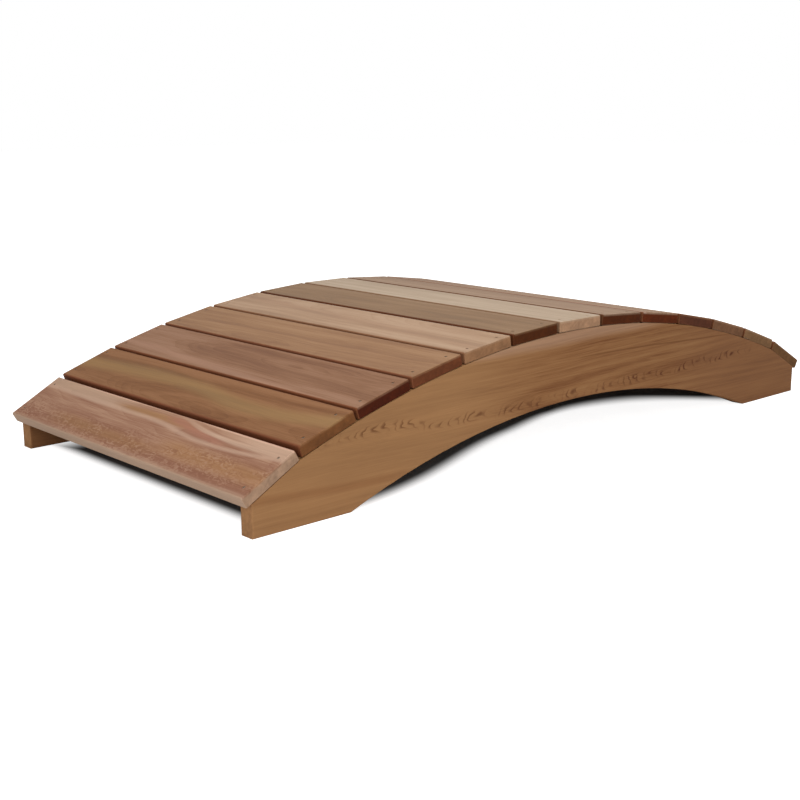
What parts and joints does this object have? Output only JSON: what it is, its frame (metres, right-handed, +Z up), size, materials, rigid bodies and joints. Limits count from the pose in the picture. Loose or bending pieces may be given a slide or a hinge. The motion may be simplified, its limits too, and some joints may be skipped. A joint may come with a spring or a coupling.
{
  "type": "low arched garden footbridge",
  "caption": "Low arched timber garden footbridge without rails: cross boards laid on two sawn arched side stringers.",
  "frame": {"origin": "on the ground, midway between the four feet, under the crown of the deck", "axes": "+X along the walk, +Y across it to the left stringer, +Z up"},
  "size_m": [1.8758, 0.9144, 0.307],
  "materials": {
    "cedar_board": "planed, clear oiled",
    "cedar_stringer": "planed, clear oiled"
  },
  "bodies": {
    "root": {"stringer_right": "cedar_stringer", "stringer_left": "cedar_stringer", "deck_board_01": "cedar_board", "deck_board_02": "cedar_board", "deck_board_03": "cedar_board", "deck_board_04": "cedar_board", "deck_board_05": "cedar_board", "deck_board_06": "cedar_board", "deck_board_07": "cedar_board", "deck_board_08": "cedar_board", "deck_board_09": "cedar_board", "deck_board_10": "cedar_board", "deck_board_11": "cedar_board", "deck_board_12": "cedar_board", "deck_board_13": "cedar_board"}
  },
  "joints": []
}
